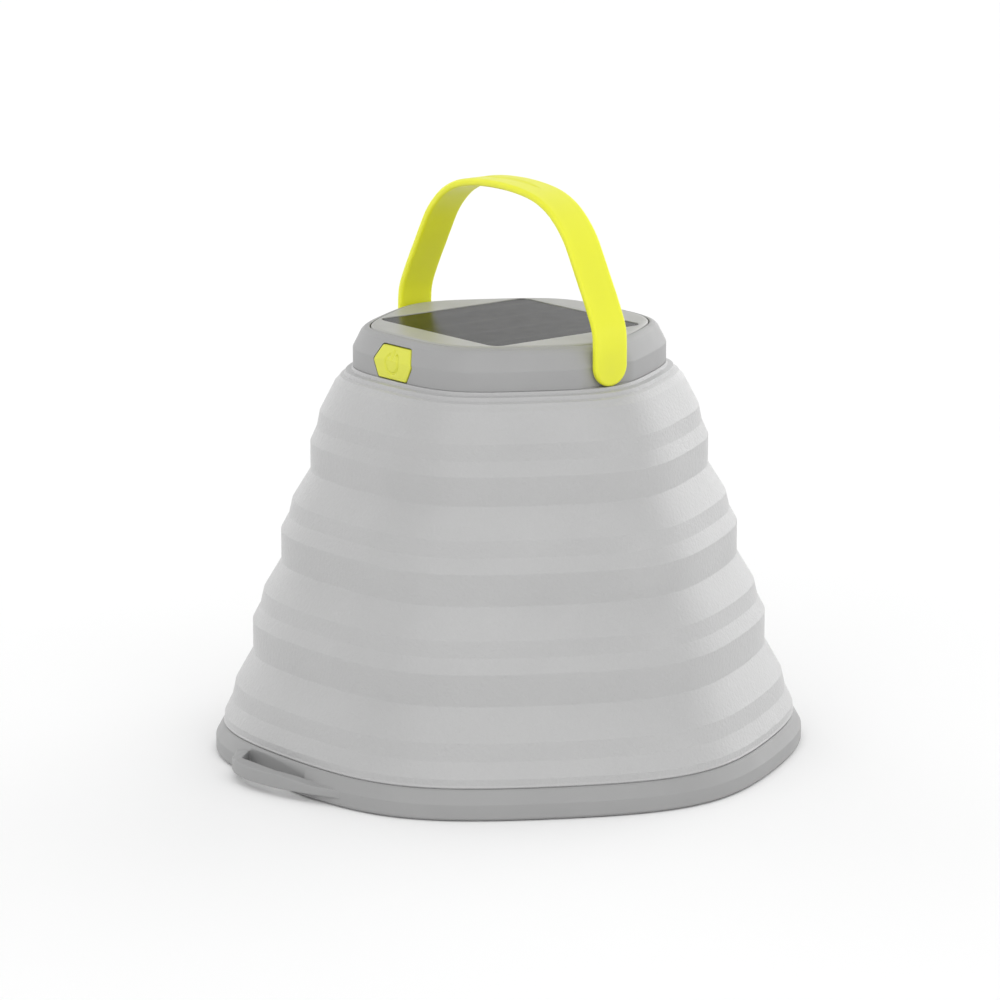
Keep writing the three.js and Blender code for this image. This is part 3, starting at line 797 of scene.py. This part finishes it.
def surface_cap(name, outline, facing, back, proud, edge, dent=None):
    """A cap whose front follows the housing: shrinking loops of an outline, with a rounded rim."""
    middle = outline.mean(axis=0)
    offsets = outline - middle
    size = np.linalg.norm(offsets, axis=1)[:, None]
    loops = [np.column_stack([outline[:, 0], np.full(len(outline), facing * back), outline[:, 1]])]
    rim = [(edge * (1 - math.cos(turn)), edge * (1 - math.sin(turn)))
           for turn in np.linspace(0, math.pi / 2, 6)]
    for inset, drop in rim:
        spots = middle + offsets * (1 - inset / size)
        loops.append(surface_loop(spots, facing, proud - drop))
    shrunk = middle + offsets * (1 - edge / size)
    for share in np.linspace(0.975, 0.015, 42):
        spots = middle + (shrunk - middle) * share
        sink = dent(spots - middle) if dent else 0
        loops.append(surface_loop(spots, facing, proud - sink))
    return lofted(name, loops)


def surface_loop(spots, facing, proud):
    y = facing * face_of(spots[:, 0], spots[:, 1], proud)
    return np.column_stack([spots[:, 0], y, spots[:, 1]])


def power_mark(spots):
    """Depth of the moulded on-off mark: an open ring with a short bar in its gap."""
    x, z = spots[:, 0], spots[:, 1]
    ring, line, deep = 2.5 * MM, 0.34 * MM, 0.4 * MM
    half_gap = math.radians(27)
    bar_low, bar_high = 1.1 * MM, 3.0 * MM
    far_away = 1.0
    in_gap = np.abs(np.arctan2(x, z)) < half_gap
    from_ring = np.where(in_gap, far_away, np.abs(np.hypot(x, z) - ring))
    from_bar = np.hypot(x, z - np.clip(z, bar_low, bar_high))
    near = np.clip(1 - np.minimum(from_ring, from_bar) / (1.6 * line), 0, 1)
    return deep * near * near * (3 - 2 * near)


def make_button():
    outline = button_outline(0)
    cap = surface_cap("power_button_cap", outline, -1, BUTTON_BACK, PROUD, 0.4 * MM, power_mark)
    flange = rounded_box(9.1 * MM, 1.0 * MM, 0.4 * MM, 60) + (0, HEAD_Z + 3.35 * MM)
    stem = rounded_box(1.5 * MM, 0.7 * MM, 0.3 * MM, 60) + (0, HEAD_Z + 4.45 * MM)
    joined(cap, [
        prism("button_flange", flange, -35.3 * MM, -34.65 * MM, "y"),
        prism("button_stem", stem, -35.2 * MM, -34.45 * MM, "y"),
    ])
    place_piece(cap, YELLOW_BUTTON, "yellow", "button", "power_button")


def make_port_cover():
    cap = surface_cap("port_cover_flap", cover_outline(0), 1, COVER_BACK, PROUD, 0.35 * MM)
    plug = prism("cover_plug", port_outline(7.0 * MM, 1.9 * MM), 35.7 * MM, 36.6 * MM, "y")
    joined(cap, [plug])
    place_piece(cap, RUBBER, "rubber", "cover", "port_cover")


def square_reach(angles, half, corner):
    """Distance from the axis to the outline of a square with rounded corners."""
    a = np.abs(np.cos(angles))
    b = np.abs(np.sin(angles))
    flat = half / np.maximum(a, b)
    inner = half - corner
    along = (a + b) * inner
    curve = along + np.sqrt(np.maximum(along ** 2 - 2 * inner ** 2 + corner ** 2, 0))
    return np.where(np.minimum(a, b) * flat > inner, curve, flat)


def square_loops(levels, steps):
    """Loops of a rounded square for each (half side, corner radius, z)."""
    angles = np.linspace(0, 2 * math.pi, steps, endpoint=False)
    loops = []
    for half, corner, z in levels:
        reach = square_reach(angles, half, corner)
        loops.append(np.stack([reach * np.cos(angles), reach * np.sin(angles), np.full(steps, z)], axis=1))
    return loops


def make_top_plate():
    outer = head_line([
        (20, 7.6), (33.2, 7.6, 0.1), (33.2, 8.8, 0.1), (35.2, 8.8, 0.1), (35.2, 10.0, 0.3),
        (34.9, 10.35, 0.4), (34.1, 10.5, 0.6), (33.5, 10.5),
    ])
    half = high_of("solar_panel").x + 0.22 * MM
    top = HEAD_Z + 10.5 * MM
    floor = HEAD_Z + 8.8 * MM
    rim = [(half + 0.12 * MM, 3.1 * MM, top), (half + 0.03 * MM, 3.05 * MM, top - 0.04 * MM),
           (half, 3.0 * MM, top - 0.12 * MM), (half, 3.0 * MM, floor), (0.4 * half, 1.2 * MM, floor)]
    loops = ring_loops(outer, head_shape, FINE_STEPS) + square_loops(rim, FINE_STEPS)
    plate = lofted("top_plate_shell", loops)
    place_piece(plate, PALE, "pale_plastic", "head", "top_plate")


def make_panel():
    low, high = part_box("solar_panel")
    half, corner, edge = high.x, 2.8 * MM, 0.15 * MM
    levels = [
        (half - edge, corner, low.z), (half, corner, low.z + edge), (half, corner, high.z - edge),
        (half - 0.3 * edge, corner, high.z - 0.3 * edge), (half - edge, corner - edge, high.z),
        (0.5 * half, 0.5 * corner, high.z),
    ]
    panel = lofted("solar_panel_glass", square_loops(levels, FINE_STEPS))
    place_piece(panel, PANEL, "panel", "head", "solar_panel")


# ---------------------------------------------------------------- handle
# Outer line of one half of the strap from its lower end to the top of the arch, from the pivot.
STRAP_LINE = millimetres(
    (40.1, -5.1), (40.1, 0), (40.1, 6), (39.6, 9.6), (37.8, 13.7), (35.6, 17.9), (33.1, 22.4),
    (30.9, 26.4), (28.5, 30.5), (25.2, 34.3), (21.0, 37.6), (15.4, 40.0), (8.4, 41.2), (0, 41.6),
)


def relaxed(points, passes):
    """Evens out the bends of a line and keeps its ends."""
    for _ in range(passes):
        middle = (points[:-2] + 2 * points[1:-1] + points[2:]) / 4
        points = np.vstack([points[:1], middle, points[-1:]])
    return points


def strap_section(from_tip, from_top):
    """Loop of (across, height) points round the strap, with a shallow hollow along the top of the arch."""
    narrowest = 0.02 * MM
    hollow_reach, hollow_half, hollow_depth = 12 * MM, 1.5 * MM, 0.28 * MM
    half = STRAP_HALF_WIDTH
    short = max(half - from_tip, 0)
    wide = math.sqrt(max(half ** 2 - short ** 2, narrowest ** 2))
    edge_turn = np.linspace(0, math.pi / 2, 8)
    flat = np.linspace(0, 1, 30)
    shares = np.concatenate([1 - STRAP_EDGE / half * (1 - np.cos(edge_turn)),
                             (1 - STRAP_EDGE / half) * (1 - flat[1:])])
    across = np.concatenate([shares, -shares[-2::-1]]) * wide
    inside = np.minimum(half - np.hypot(across, short), STRAP_EDGE)
    inside = np.maximum(inside, 0)
    height = STRAP_THICKNESS / 2 - STRAP_EDGE + np.sqrt(STRAP_EDGE ** 2 - (STRAP_EDGE - inside) ** 2)
    hollow = np.clip(1 - (from_top / hollow_reach) ** 2, 0, 1) * hollow_half
    dip = hollow_depth * np.clip(1 - (across / hollow) ** 2, 0, 1) if hollow > 0 else 0
    top = np.column_stack([across, height - dip])
    under = np.column_stack([across[::-1], -height[::-1]])
    return np.vstack([top, under])


def make_strap():
    count = 700
    whole_line = STRAP_LINE + [(-x, z) for x, z in STRAP_LINE[-2::-1]]
    outer, length = smooth_curve(whole_line, count)
    outer = relaxed(outer, 60)
    tangent = np.gradient(outer, axis=0)
    tangent /= np.linalg.norm(tangent, axis=1)[:, None]
    inward = np.column_stack([-tangent[:, 1], tangent[:, 0]])
    centre = outer + inward * STRAP_THICKNESS / 2
    places = np.linspace(0, length, count)
    tips = STRAP_HALF_WIDTH * (1 - np.cos(np.linspace(0, math.pi / 2, 26)))
    between = np.linspace(tips[-1], length - tips[-1], 280)[1:-1]
    stations = np.concatenate([tips, between, length - tips[::-1]])
    loops = []
    for station in stations:
        middle = [np.interp(station, places, centre[:, axis]) for axis in (0, 1)]
        side = [np.interp(station, places, inward[:, axis]) for axis in (0, 1)]
        from_tip = min(station, length - station)
        section = strap_section(from_tip, abs(station - length / 2))
        across, height = section[:, 0], section[:, 1]
        x = middle[0] - side[0] * height
        z = middle[1] - side[1] * height + PIVOT.z
        loops.append(np.column_stack([x, across, z]))
    strap = lofted("handle_strap_loop", loops, sharp=40)
    joined(strap, [handle_pin(1), handle_pin(-1)])
    place_piece(strap, YELLOW, "yellow", "handle", "handle_strap")


def handle_pin(side):
    """A round pin with a neck for its clip, along X from the inside of the strap."""
    profile = millimetres(
        (1.3, 33.4), (1.6, 33.7), (1.6, 34.5), (1.0, 34.6), (1.0, 35.9), (1.6, 36.0), (1.6, 38.8),
    )
    angles = np.linspace(0, 2 * math.pi, 40, endpoint=False)
    loops = []
    for radius, x in profile:
        circle = [np.full(40, side * x), radius * np.cos(angles), PIVOT.z + radius * np.sin(angles)]
        loops.append(np.column_stack(circle))
    return lofted("handle_pin", loops)


# ---------------------------------------------------------------- the whole lantern
make_camera()
make_lights()
make_floor()
paint_inner_nodes()
make_base_ring()
make_base_plate()
make_base_screws()
make_bellows()
make_housing()
make_button()
make_port_cover()
make_top_plate()
make_panel()
make_strap()
